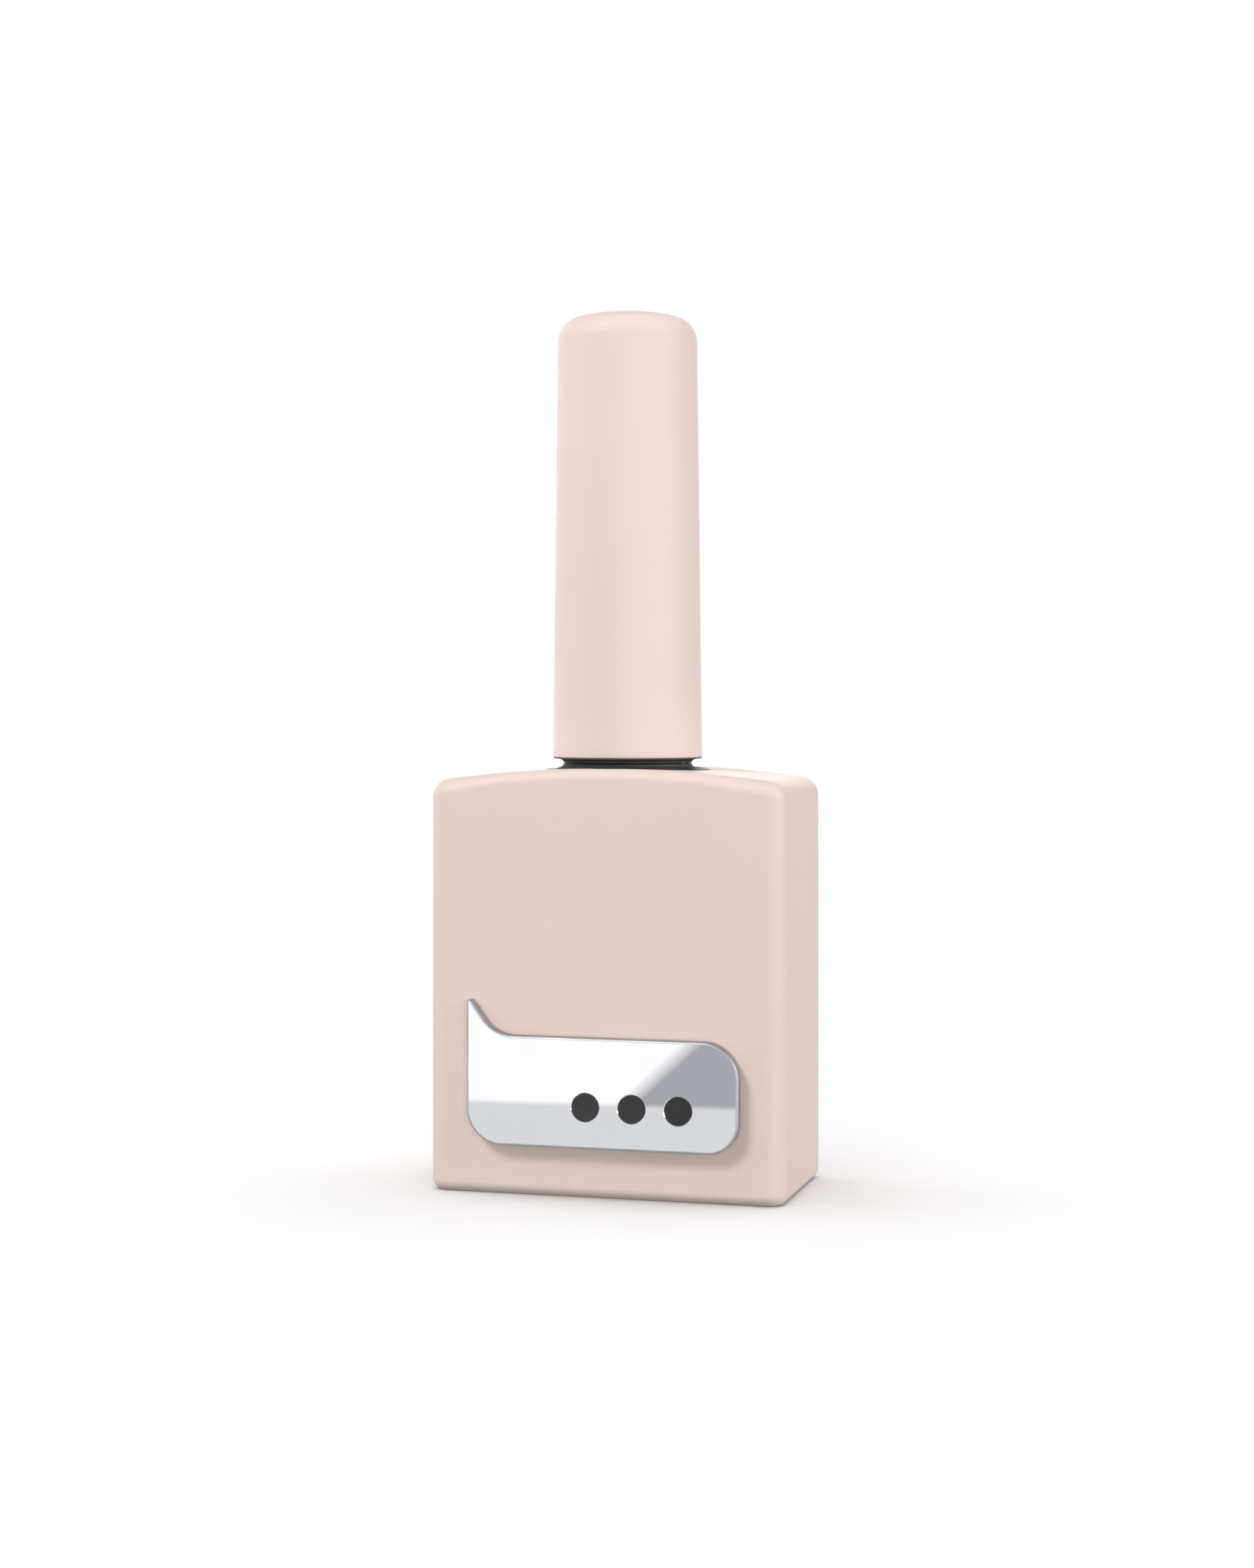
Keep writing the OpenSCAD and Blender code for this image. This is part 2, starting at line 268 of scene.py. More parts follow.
lacquer = coated(
    "nude_lacquer", linear(224, 204, 195), linear(222, 202, 193), (0.48, 0.56),
    grain_mm=0.09, grain_depth=0.0012, peel_mm=0.9, peel_depth=0.002, specular=0.3,
)
soft_touch = coated(
    "soft_touch_pink", linear(227, 207, 199), linear(225, 205, 197), (0.52, 0.6),
    grain_mm=0.07, grain_depth=0.0022, peel_mm=1.4, peel_depth=0.0015, sheen=0.08, specular=0.4,
)
black_glass = moulded(
    "black_glass", linear(20, 20, 21), linear(27, 27, 28), (0.08, 0.14), 0.5, 0.001
)
black_plastic = moulded(
    "black_plastic", linear(72, 72, 72), linear(78, 78, 78), (0.5, 0.6), specular=0.25
)
stem_plastic = moulded(
    "stem_plastic", linear(34, 34, 35), linear(40, 40, 41), (0.24, 0.32), 0.12, 0.0007
)
bristle_nylon = moulded(
    "bristle_nylon", linear(24, 23, 23), linear(44, 42, 41), (0.3, 0.42), 0.03, 0.001
)
black_enamel = moulded("black_enamel", linear(33, 33, 34), linear(38, 38, 39), (0.2, 0.3))
foam_film = moulded(
    "foam_film", linear(92, 90, 90), linear(112, 110, 109), (0.7, 0.8), 0.12, 0.01, 0.2
)
seal_foam = moulded(
    "seal_foam", linear(232, 231, 226), linear(242, 241, 238), (0.55, 0.7), 0.15, 0.008, 0.3
)
mirror = polished(
    "mirror_plate", linear(252, 252, 253), linear(250, 250, 252), (0.012, 0.03), 9.0, 0.00008
)
# rim of the badge: rougher cut metal, its colour darkened as painted shade that greys the lit bevel
cut_metal_painted_shade = polished(
    "cut_edge_painted_shade", linear(176, 178, 181), linear(160, 162, 165), (0.42, 0.55), 0.2, 0.002, (1, 0.1, 1)
)
steel = polished(
    "ball_steel", linear(205, 206, 209), linear(190, 191, 195), (0.06, 0.16), 1.2, 0.001
)
brass = polished(
    "anchor_brass", linear(214, 181, 108), linear(190, 156, 88), (0.2, 0.35), 0.4, 0.004,
    (0.1, 1, 1),
)


def sticker_material():
    """Blank coated paper with a thin printed ring."""
    material, nodes, links, shader = new_material("sticker_paper")
    coordinates = nodes.new("ShaderNodeTexCoord")
    split = nodes.new("ShaderNodeSeparateXYZ")
    flat = nodes.new("ShaderNodeCombineXYZ")
    length = nodes.new("ShaderNodeVectorMath")
    length.operation = "LENGTH"
    links.new(coordinates.outputs["Object"], split.inputs["Vector"])
    links.new(split.outputs["X"], flat.inputs["X"])
    links.new(split.outputs["Y"], flat.inputs["Y"])
    links.new(flat.outputs["Vector"], length.inputs[0])
    ring = nodes.new("ShaderNodeValToRGB")
    ramp = ring.color_ramp
    ramp.interpolation = "CONSTANT"
    ramp.elements[0].color = (0, 0, 0, 1)
    ramp.elements[1].position = 0.86
    ramp.elements[1].color = (1, 1, 1, 1)
    ramp.elements.new(0.9).color = (0, 0, 0, 1)
    scaled = nodes.new("ShaderNodeMath")
    scaled.operation = "DIVIDE"
    scaled.inputs[1].default_value = 7 * MM
    links.new(length.outputs["Value"], scaled.inputs[0])
    links.new(scaled.outputs["Value"], ring.inputs["Fac"])
    fibre = two_tone(
        nodes, links, remap(nodes, links, noise(nodes, links, 0.3, 4.0), 0, 1),
        linear(246, 245, 242), linear(238, 237, 233),
    )
    mix = nodes.new("ShaderNodeMix")
    mix.data_type = "RGBA"
    mix.inputs["B"].default_value = linear(120, 118, 117)
    links.new(ring.outputs["Color"], mix.inputs["Factor"])
    links.new(fibre, mix.inputs["A"])
    links.new(mix.outputs["Result"], shader.inputs["Base Color"])
    gloss = remap(nodes, links, noise(nodes, links, 0.5, 3.0), 0.4, 0.55)
    links.new(gloss, shader.inputs["Roughness"])
    links.new(bump(nodes, links, noise(nodes, links, 0.12, 3.0), 0.002), shader.inputs["Normal"])
    return material


sticker_paper = sticker_material()


# ---------------------------------------------------------------- sizes, in millimetres

def box_mm(node):
    low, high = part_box(node)
    return [v / MM for v in low], [v / MM for v in high]


glass_high = box_mm("bottle")[1]
collar_low, collar_high = box_mm("neck_collar")
screw_low, screw_high = box_mm("inner_cap")
cap_low, cap_high = box_mm("overcap")
seal_low, seal_high = box_mm("cap_seal")
stem_low, stem_high = box_mm("brush_stem")
tuft_low, tuft_high = box_mm("brush_bristles")
plate_low, plate_high = box_mm("badge")
film_low, film_high = box_mm("badge_tape")
label_low, label_high = box_mm("base_label")

half_w = glass_high[0]
half_d = glass_high[1]
neck_top = glass_high[2]
seat_z = collar_low[2]
shoulder_z = seat_z + 0.35       # crown of the shoulder
crown_r = 124.5                  # radius of the crown, seen from the front
edge_r = 1.8                     # vertical edges
heel_r = 1.1
shoulder_r = 1.6
seat_shoulder_r = 1.15           # the shoulder's rounding beside the collar
wall = 2.6
floor_z = 3.5                    # floor of the reservoir
neck_r = 5.7
neck_bore_r = 3.8
thread_r = 6.2
pitch = 2.117
thread_z = shoulder_z + 3.4
collar_r = collar_high[0]
waist_r = 6.55                   # narrowest point of the black band


# ---------------------------------------------------------------- bottle

def outline(half_x, half_y, radius, corner_steps=12, steps_x=44, steps_y=28):
    """Rounded rectangle as points round its edge, always the same number and order."""
    points = []
    corners = [
        (half_x - radius, half_y - radius, 0, steps_x),
        (radius - half_x, half_y - radius, 90, steps_y),
        (radius - half_x, radius - half_y, 180, steps_x),
        (half_x - radius, radius - half_y, 270, steps_y),
    ]
    for k, (x, y, start, side_steps) in enumerate(corners):
        bend = arc(x, y, radius, start, start + 90, corner_steps)
        points += bend
        next_x, next_y, next_start, _ = corners[(k + 1) % 4]
        landing = arc(next_x, next_y, radius, next_start, next_start, 1)[0]
        for i in range(1, side_steps):
            share = i / side_steps
            points.append((
                bend[-1][0] + (landing[0] - bend[-1][0]) * share,
                bend[-1][1] + (landing[1] - bend[-1][1]) * share,
            ))
    return points


def inset_from_edge(x, y, half_x, half_y, radius):
    """How far a point lies inside a rounded rectangle."""
    qx = abs(x) - (half_x - radius)
    qy = abs(y) - (half_y - radius)
    outside = math.hypot(max(qx, 0), max(qy, 0))
    return radius - outside - min(max(qx, qy), 0)


def crowned(x, y, top, half_x, half_y, radius, rounding):
    """Height of a crowned top whose edge is rounded over."""
    crown = top - crown_r + math.sqrt(crown_r ** 2 - x * x)
    inset = min(max(inset_from_edge(x, y, half_x, half_y, radius), 0), rounding)
    return crown - rounding + math.sqrt(max(rounding ** 2 - (rounding - inset) ** 2, 0))


def circle_like(points, radius):
    """A circle whose points lie in the same directions as those of another ring."""
    return [
        (radius * math.cos(math.atan2(y, x)), radius * math.sin(math.atan2(y, x)))
        for x, y in points
    ]


def kept_outside(points, circle):
    """Points that lie inside a circle give way to the circle's own."""
    radius = math.hypot(*circle[0])
    return [
        point if math.hypot(*point) >= radius else own
        for point, own in zip(points, circle)
    ]


def between(first, second, share):
    return [
        (a[0] + (b[0] - a[0]) * share, a[1] + (b[1] - a[1]) * share)
        for a, b in zip(first, second)
    ]


def make_bottle():
    bm = bmesh.new()
    rings = []
    painted = []

    def add(points, height, paint):
        """Next ring, from below outwards and in again. height is a number or a function of x, y."""
        rings.append([
            bm.verts.new((x, y, height(x, y) if callable(height) else height)) for x, y in points
        ])
        painted.append(paint)

    def wall_top(x, y):
        """Top of the shoulder, whose edge is rounded less in its middle, beside the collar."""
        share = min(max((abs(x) - collar_r) / (half_w - shoulder_r - collar_r), 0), 1)
        rounding = seat_shoulder_r + (shoulder_r - seat_shoulder_r) * share ** 2 * (3 - 2 * share)
        return crowned(x, y, shoulder_z, half_w, half_d, edge_r, rounding)

    outer = outline(half_w, half_d, edge_r)
    punt_r = 7.5
    punt_depth = 0.5
    # hollow of the base, then the standing band and the heel
    for radius in (2.5, 5.0, punt_r - 0.2):
        add(circle_like(outer, radius), punt_depth, True)
    add(circle_like(outer, punt_r - 0.05), punt_depth - 0.12, True)
    add(circle_like(outer, punt_r), punt_depth / 2, True)
    add(circle_like(outer, punt_r + 0.05), 0.08, True)
    add(circle_like(outer, punt_r + 0.2), 0, True)
    heel_start = outline(half_w - heel_r, half_d - heel_r, edge_r - heel_r)
    rim = circle_like(outer, punt_r + 0.3)
    for share in (0.0, 0.5):
        add(between(rim, heel_start, share), 0, True)
    steps = 10
    for i in range(steps + 1):
        angle = math.pi / 2 * i / steps
        inset = heel_r * (1 - math.sin(angle))
        add(
            outline(half_w - inset, half_d - inset, edge_r - inset),
            heel_r * (1 - math.cos(angle)), True,
        )
    # walls
    for share in (0.25, 0.5, 0.75, 1.0):
        add(outer, lambda x, y, s=share: heel_r + (wall_top(x, y) - heel_r) * s, True)
    # rounded edge of the shoulder, which the collar's round seat cuts at the front and back
    flat_edge = outline(half_w - shoulder_r, half_d - shoulder_r, edge_r - shoulder_r)
    seat_edge = circle_like(flat_edge, collar_r + 0.02)
    for i in range(1, steps + 1):
        inset = shoulder_r * (1 - math.cos(math.pi / 2 * i / steps))
        edge = outline(half_w - inset, half_d - inset, edge_r - inset)
        add(kept_outside(edge, seat_edge), wall_top, True)
    # crown of the shoulder, drawn in to the seat
    crown_edge = kept_outside(flat_edge, seat_edge)
    for i in range(1, 13):
        add(between(crown_edge, seat_edge, i / 12), wall_top, True)
    # seat, neck, rim and bore, in bare black glass
    add(circle_like(flat_edge, collar_r), seat_z, False)
    add(circle_like(outer, neck_r + 0.25), seat_z, False)
    add(circle_like(outer, neck_r + 0.07), seat_z + 0.07, False)
    add(circle_like(outer, neck_r), seat_z + 0.25, False)
    rim_r = 0.5
    for radius, height in arc(neck_r - rim_r, neck_top - rim_r, rim_r, 0, 90, 6):
        add(circle_like(outer, radius), height, False)
    for radius, height in arc(neck_bore_r + rim_r, neck_top - rim_r, rim_r, 90, 180, 6):
        add(circle_like(outer, radius), height, False)
    # reservoir
    in_w = half_w - wall
    in_d = half_d - wall
    in_edge = 2.4
    ceiling = shoulder_z - wall
    inner_top = lambda x, y: crowned(x, y, ceiling, in_w, in_d, in_edge, shoulder_r)
    add(circle_like(outer, neck_bore_r), ceiling + 1.0, False)
    add(circle_like(outer, neck_bore_r + 0.3), ceiling + 0.3, False)
    bore_edge = circle_like(outer, neck_bore_r + 1.0)
    inner_flat = outline(in_w - shoulder_r, in_d - shoulder_r, in_edge - shoulder_r)
    for i in range(8):
        add(between(bore_edge, inner_flat, i / 8), inner_top, False)
    for i in range(steps + 1):
        angle = math.pi / 2 * (1 - i / steps)
        inset = shoulder_r * (1 - math.cos(angle))
        add(
            outline(in_w - inset, in_d - inset, in_edge - inset),
            lambda x, y, a=angle: ceiling - crown_r + math.sqrt(crown_r ** 2 - x * x)
            - shoulder_r * (1 - math.sin(a)), False,
        )
    for i in range(steps + 1):
        angle = math.pi / 2 * (1 - i / steps)
        inset = heel_r * (1 - math.sin(angle))
        add(
            outline(in_w - inset, in_d - inset, in_edge - inset),
            floor_z + heel_r * (1 - math.cos(angle)), False,
        )
    inner_floor = outline(in_w - heel_r, in_d - heel_r, in_edge - heel_r)
    add(between(inner_floor, circle_like(outer, 3.0), 0.5), floor_z, False)
    add(circle_like(outer, 3.0), floor_z, False)

    for k in range(len(rings) - 1):
        bridge(bm, rings[k], rings[k + 1], 0 if painted[k] and painted[k + 1] else 1)
    close(bm, rings[0], (0, 0, punt_depth), 0)
    close(bm, rings[-1], (0, 0, floor_z), 1)
    bmesh.ops.remove_doubles(bm, verts=bm.verts, dist=0.0005)
    thread(bm, neck_r - 0.1, thread_r, thread_z, 2, material=1)
    return sharpen(link("bottle_glass", bm, [lacquer, black_glass]), 50)


# ---------------------------------------------------------------- black band, cap and seal

def cove(waist, waist_z, edge, edge_z, steps=14):
    """Concave quarter ellipse from a waist out to an edge."""
    return [
        (
            edge - (edge - waist) * math.cos(math.pi / 2 * i / steps),
            waist_z + (edge_z - waist_z) * math.sin(math.pi / 2 * i / steps),
        )
        for i in range(steps + 1)
    ]


def make_collar():
    top = collar_high[2]
    profile = [(neck_r + 0.02, seat_z + 0.3), (neck_r + 0.02, top)]
    profile += [(waist_r - 0.08, top), (waist_r - 0.02, top - 0.02)]
    profile += cove(waist_r, top - 0.08, collar_r, seat_z + 0.12)
    profile += [(collar_r, seat_z + 0.02), (collar_r - 0.02, seat_z), (neck_r + 0.32, seat_z)]
    return sharpen(lathe("neck_ring", profile, black_plastic, 160), 40)


def make_screw_cap():
    low = screw_low[2]
    top = screw_high[2]
    overcap_z = cap_low[2]
    lip = screw_high[0]
    lip_t = 0.12
    seal_top = seal_high[2]
    skirt_r = 7.0
    skirt_top = seal_top + 1.4
    post_r = 3.4
    entry_r = thread_r + 0.1
    root_r = thread_r + 0.35
    socket_r = 2.23
    profile = [(entry_r + 0.06, low), (waist_r - 0.05, low), (waist_r, low + 0.05)]
    profile += cove(waist_r, low + 0.06, lip, overcap_z - lip_t)
    profile += [(lip, overcap_z), (skirt_r, overcap_z), (skirt_r, skirt_top - 0.3)]
    profile += arc(skirt_r - 0.3, skirt_top - 0.3, 0.3, 0, 90, 4)[1:]
    profile += [(post_r + 0.3, skirt_top), (post_r, skirt_top + 0.3), (post_r, top - 0.4)]
    profile += arc(post_r - 0.4, top - 0.4, 0.4, 0, 90, 5)[1:]
    profile += [(0, top), (0, top - 1), (socket_r, top - 1), (socket_r, seal_top)]
    profile += [(root_r - 0.2, seal_top), (root_r, seal_top - 0.2), (root_r, low + 1.25)]
    profile += [(entry_r, low + 1), (entry_r, low + 0.06)]
    obj = lathe("screw_cap", profile, black_plastic, 160)
    bm = bmesh.new()
    bm.from_mesh(obj.data)
    bmesh.ops.scale(bm, vec=(1 / MM,) * 3, verts=bm.verts)
    thread(bm, root_r + 0.1, thread_r + 0.07, thread_z + pitch / 2, 1.5)
    for quarter in range(4):
        fin(bm, quarter * math.pi / 2, post_r - 0.3, 6.2, skirt_top - 0.1, skirt_top + 4.2)
    bpy.data.objects.remove(obj)
    return sharpen(link("screw_cap", bm, [black_plastic]), 40)


def fin(bm, angle, inner, outer, low, high, thickness=0.8):
    """Upright rib that centres the overcap on the screw cap."""
    half = thickness / 2
    side = [(inner, low), (outer, low), (outer, high - 0.5), (outer - 0.5, high), (inner, high)]
    faces = []
    for y in (-half, half):
        faces.append([
            bm.verts.new((
                x * math.cos(angle) - y * math.sin(angle),
                x * math.sin(angle) + y * math.cos(angle),
                z,
            ))
            for x, z in side
        ])
    bridge(bm, faces[0], faces[1])
    bm.faces.new(faces[0])
    bm.faces.new(faces[1])


def make_overcap():
    low = cap_low[2]
    top = cap_high[2]
    bottom_r = cap_high[0]
    top_r = 7.1
    round_r = 2.4
    dome = 0.6
    lip_r = 0.12
    skirt_r = 7.02
    core_r = 6.3
    skirt_top = seal_high[2] + 1.4
    shelf = top - dome - round_r
    dome_half = top_r - round_r
    profile = [(skirt_r, low + 0.15), (skirt_r + 0.1, low), (bottom_r - lip_r, low)]
    profile += arc(bottom_r - lip_r, low + lip_r, lip_r, -90, 0, 4)[1:]
    for share in (0.02, 0.25, 0.5, 0.75, 0.98):
        height = low + lip_r + (shelf - low - lip_r) * share
        profile.append((bottom_r + (top_r - bottom_r) * share, height))
    profile += arc(dome_half, shelf, round_r, 0, 78, 16)
    # the dome takes over where the rounded edge has turned to its slope
    start_r, start_z = profile[-1]
    for i in range(1, 13):
        share = i / 12
        radius = start_r * (1 - share)
        rise = (top - start_z) * (1 - (radius / start_r) ** 2)
        profile.append((radius, start_z + rise))
    profile += [(0, top - 2.2), (core_r - 0.6, top - 2.2), (core_r, top - 2.8)]
    profile += [(core_r, skirt_top), (skirt_r, skirt_top)]
    return sharpen(lathe("overcap_shell", profile, soft_touch, 192), 40)


def make_seal():
    low = seal_low[2]
    high = seal_high[2]
    outer = seal_high[0]
    inner = 2.25
    soft = 0.12
    groove = 0.06
    profile = arc(outer - soft, low + soft, soft, -90, 0, 3)
    profile += arc(outer - soft, high - soft, soft, 0, 90, 3)
    profile += arc(inner + soft, high - soft, soft, 90, 180, 3)
    profile += arc(inner + soft, low + soft, soft, 180, 270, 3)
    # the rim has pressed a shallow groove into the underside
    profile += [(neck_bore_r, low), (neck_bore_r + 0.3, low + groove)]
    profile += [(neck_r - 0.3, low + groove), (neck_r - 0.05, low)]
    return sharpen(lathe("sealing_washer", profile, seal_foam, 96), 60)


# ---------------------------------------------------------------- brush

def make_stem():
    low = stem_low[2]
    top = stem_high[2]
    bead_top = neck_top - 2 * pitch - 0.2
    bead_r = stem_high[0]
    plug_r = 2.2
    stem_r = 1.7
    tip_r = 1.45
    hole_r = 1.02
    profile = [(0, low + 5), (hole_r, low + 5), (hole_r, low + 0.1), (hole_r + 0.1, low)]
    profile += arc(tip_r - 0.25, low + 0.25, 0.25, -90, 0, 4)
    profile += [(stem_r, bead_top - 1.15), (stem_r + 0.1, bead_top - 1)]
    profile += [(bead_r - 0.1, bead_top - 0.6), (bead_r, bead_top - 0.45), (bead_r, bead_top - 0.12)]
    profile += [(bead_r - 0.12, bead_top), (plug_r, bead_top), (plug_r, top - 0.4)]
    profile += arc(plug_r - 0.4, top - 0.4, 0.4, 0, 90, 4)[1:]
    profile += [(0, top)]
    return sharpen(lathe("applicator_stem", profile, stem_plastic, 96), 40)


def make_bristles():
    """Nylon filaments that leave the stem as one tuft, belly out and close to a rounded tip."""
    rng = random.Random(11)
    low = tuft_low[2]
    root_z = stem_low[2] + 4.7
    exit_z = stem_low[2]
    belly = tuft_high[0]
    root_r = 0.92
    filament_r = 0.055
    sides = 5
    rows = 14
    rings_of = 11
    bm = bmesh.new()
    for ring_number in range(rings_of):
        share = ring_number / (rings_of - 1)
        count = max(1, round(2 * math.pi * share * root_r / 0.135))
        turn = rng.random() * math.tau
        for k in range(count):
            angle = turn + math.tau * k / count + rng.uniform(-0.05, 0.05)
            spread = min(1.0, share + rng.uniform(-0.03, 0.03))
            # filaments near the middle reach further, which rounds the tip
            tip_z = low + 2.6 * spread ** 2 + rng.uniform(0, 0.5)
            lean = rng.uniform(-0.06, 0.06)
            rings = []
            for row in range(rows + 1):
                t = row / rows
                z = root_z + (tip_z - root_z) * t
                down = max(0.0, (exit_z - z) / (exit_z - low))
                swell = math.sin(math.pi * min(1.0, down / 1.24)) ** 0.8 if down > 0 else 0.0
                radius = spread * (root_r + (belly - 0.08 - root_r) * swell)
                thick = filament_r * (1 - 0.45 * max(0.0, (t - 0.85) / 0.15))
                a = angle + lean * down
                centre = Vector((radius * math.cos(a), radius * math.sin(a), z))
                rings.append([
                    bm.verts.new(centre + Vector((
                        thick * math.cos(math.tau * s / sides),
                        thick * math.sin(math.tau * s / sides),
                        0,
                    )))
                    for s in range(sides)
                ])
            for lower, upper in zip(rings, rings[1:]):
                bridge(bm, lower, upper)
            bm.faces.new(rings[0])
            bm.faces.new(rings[-1])
    return link("bristle_filaments", bm, [bristle_nylon])


# ---------------------------------------------------------------- badge

def badge_outline():
    """Outline of the badge seen from the front, anticlockwise, starting at its lower left corner."""
    left, right = plate_low[0], plate_high[0]
    bottom, tip = plate_low[2], plate_high[2]
    tail_h = 3.4
    top = tip - tail_h
    corner_tr, corner_br, corner_bl = 3.6, 3.1, 3.6
    sweep_r = 3.9
    slope = 55
    tail_tip = 0.5
    sweep_h = sweep_r * (1 - math.cos(math.radians(slope)))
    sweep_start = left + tail_tip + (tail_h - sweep_h) / math.tan(math.radians(slope))
    sweep_end = sweep_start + sweep_r * math.sin(math.radians(slope))
    points = arc(left + corner_bl, bottom + corner_bl, corner_bl, 180, 270, 20)
    points += arc(right - corner_br, bottom + corner_br, corner_br, 270, 360, 20)
    points += arc(right - corner_tr, top - corner_tr, corner_tr, 0, 90, 20)
    points += arc(sweep_end, top + sweep_r, sweep_r, 270, 270 - slope, 20)
    # blunt tip, tangent to the slope and to the left edge
    blunt = tail_tip * 0.62
    points += arc(left + blunt, tip - blunt, blunt, 90 - slope, 180, 12)
    return points


def shifted(points, distance):
    """A closed outline moved inwards by a distance."""
    moved = []
    for i, point in enumerate(points):
        before = Vector(points[i - 1])
        here = Vector(point)
        after = Vector(points[(i + 1) % len(points)])
        first = (here - before).normalized()
        second = (after - here).normalized()
        bisector = Vector((-first.y - second.y, first.x + second.x))
        cosine = max(0.3, bisector.length / 2)
        moved.append(tuple(here + bisector.normalized() * distance / cosine))
    return moved


def circle(x, z, radius):
    return arc(x, z, radius, 0, 360, 48)[:-1]


def plate(name, points, back_y, front_y, bevel, materials, wells=(), well_depth=0.0):
    """Flat plate with a rounded edge, and round wells sunk in its front. It faces -Y."""
    bm = bmesh.new()

    def ring(loop, y):
        return [bm.verts.new((x, y, z)) for x, z in loop]

    edge = len(materials) - 1
    rings = [ring(shifted(points, bevel * 0.5), back_y), ring(points, back_y - bevel * 0.5)]
    steps = 5
    for i in range(steps + 1):
        angle = math.pi / 2 * i / steps
        rings.append(ring(
            shifted(points, bevel * (1 - math.cos(angle))),
            front_y + bevel * (1 - math.sin(angle)),
        ))
    for first, second in zip(rings, rings[1:]):
        bridge(bm, first, second, edge)
    bm.faces.new(rings[0]).material_index = edge
    front = list(rings[-1])
    edges = [bm.edges.get((front[i], front[(i + 1) % len(front)])) for i in range(len(front))]
    for flat_edge in edges:
        flat_edge.smooth = False
    lip = 0.05
    for x, z, radius in wells:
        outer = ring(circle(x, z, radius + lip), front_y)
        inner = ring(circle(x, z, radius), front_y + lip)
        floor = ring(circle(x, z, radius), front_y + well_depth)
        bridge(bm, outer, inner)
        bridge(bm, inner, floor)
        bm.faces.new(floor)
        edges += [bm.edges.get((v, outer[(i + 1) % len(outer)])) for i, v in enumerate(outer)]
    bmesh.ops.triangle_fill(bm, use_beauty=True, edges=edges, normal=(0, -1, 0))
    return sharpen(link(name, bm, materials), 30)


def inlay_places():
    """Middle and radius of each dot, from the CAD's inlay."""
    low, high = box_mm("badge_inlay")
    radius = (high[2] - low[2]) / 2
    middle_z = (high[2] + low[2]) / 2
    first, last = low[0] + radius, high[0] - radius
    return [(first + (last - first) * i / 2, middle_z, radius) for i in range(3)]


def make_inlay():
    """Three dots of enamel, each slightly sunk and dished as it cured."""
    low, high = box_mm("badge_inlay")
    bm = bmesh.new()
    for x, z, radius in inlay_places():
        rows = []
        for share, sink in ((1.0, 0.06), (0.96, 0.045), (0.85, 0.06), (0.6, 0.08), (0.3, 0.09)):
            loop = circle(x, z, radius * share)
            rows.append([bm.verts.new((px, low[1] + sink, pz)) for px, pz in loop])
        back = [bm.verts.new((v.co.x, high[1], v.co.z)) for v in rows[0]]
        bridge(bm, back, rows[0])
        for first, second in zip(rows, rows[1:]):
            bridge(bm, first, second)
        close(bm, rows[-1], (x, low[1] + 0.092, z))
        bm.faces.new(back)
    return sharpen(link("badge_dots", bm, [black_enamel]), 40)


def make_sticker():
    radius = label_high[0]
    low, high = label_low[2], label_high[2]
    profile = [(0, low), (radius - 0.05, low), (radius, low + 0.03), (radius, high), (0, high)]
    return sharpen(lathe("base_sticker", profile, sticker_paper, 96), 40)


# ---------------------------------------------------------------- assembly

def place(piece, body, slot, *nodes):
    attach(piece, body)
    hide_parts(*nodes)


badge_bevel = 0.24
film_inset = 0.18
film_bevel = 0.05
dot_gap = 0.02                   # between a dot and its well
well_depth = 0.35

place(make_bottle(), "bottle", "bottle_lacquer", "bottle")
place(make_collar(), "bottle", "black_plastic", "neck_collar")
place(make_screw_cap(), "cap", "black_plastic", "inner_cap")
place(make_overcap(), "cap", "soft_touch_cap", "overcap")
place(make_seal(), "seal", "seal_foam", "cap_seal")
place(make_stem(), "brush", "stem_plastic", "brush_stem")
place(make_bristles(), "brush", "bristle_nylon", "brush_bristles")
place(make_sticker(), "bottle", "label_paper", "base_label")
place(make_inlay(), "bottle", "black_enamel", "badge_inlay")
place(
    plate(
        "badge_plate", badge_outline(), plate_high[1], plate_low[1], badge_bevel,
        [mirror, cut_metal_painted_shade],
        [(x, z, radius + dot_gap) for x, z, radius in inlay_places()], well_depth,
    ),
    "bottle", "mirror_plate", "badge",
)
place(
    plate(
        "badge_film", shifted(badge_outline(), film_inset), film_high[1], film_low[1],
        film_bevel, [foam_film],
    ),
    "bottle", "adhesive_film", "badge_tape",
)

for node, material in (("tuft_anchor", brass), ("mixing_ball_1", steel), ("mixing_ball_2", steel)):
    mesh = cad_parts[node].data
    mesh.materials.clear()
    mesh.materials.append(material)


# ---------------------------------------------------------------- studio

def look_at(obj, target):
    obj.rotation_euler = (Vector(target) - obj.location).to_track_quat("-Z", "Y").to_euler()


def direction(azimuth, elevation):
    """Azimuth is 0 in front of the badge and grows towards +X. Both are in degrees."""
    azimuth, elevation = math.radians(azimuth), math.radians(elevation)
    flat = math.cos(elevation)
    return Vector((math.sin(azimuth) * flat, -math.cos(azimuth) * flat, math.sin(elevation)))


def soft_light(name, azimuth, elevation, distance, width, height, power):
    """Softbox aimed at the bottle."""
    data = bpy.data.lights.new(name, "AREA")
    data.shape = "RECTANGLE"
    data.size = width
    data.size_y = height
    data.energy = power
    light = bpy.data.objects.new(name, data)
    aim = Vector((0, 0, 0.03))
    light.location = aim + direction(azimuth, elevation) * distance
    bpy.context.scene.collection.objects.link(light)
    look_at(light, aim)
    return light


def soft_sun(name, azimuth, elevation, spread, strength):
    """Even light from one direction."""
    data = bpy.data.lights.new(name, "SUN")
    data.energy = strength
    data.angle = math.radians(spread)
    sun = bpy.data.objects.new(name, data)
    sun.location = direction(azimuth, elevation)
    bpy.context.scene.collection.objects.link(sun)
    look_at(sun, (0, 0, 0))
    return sun


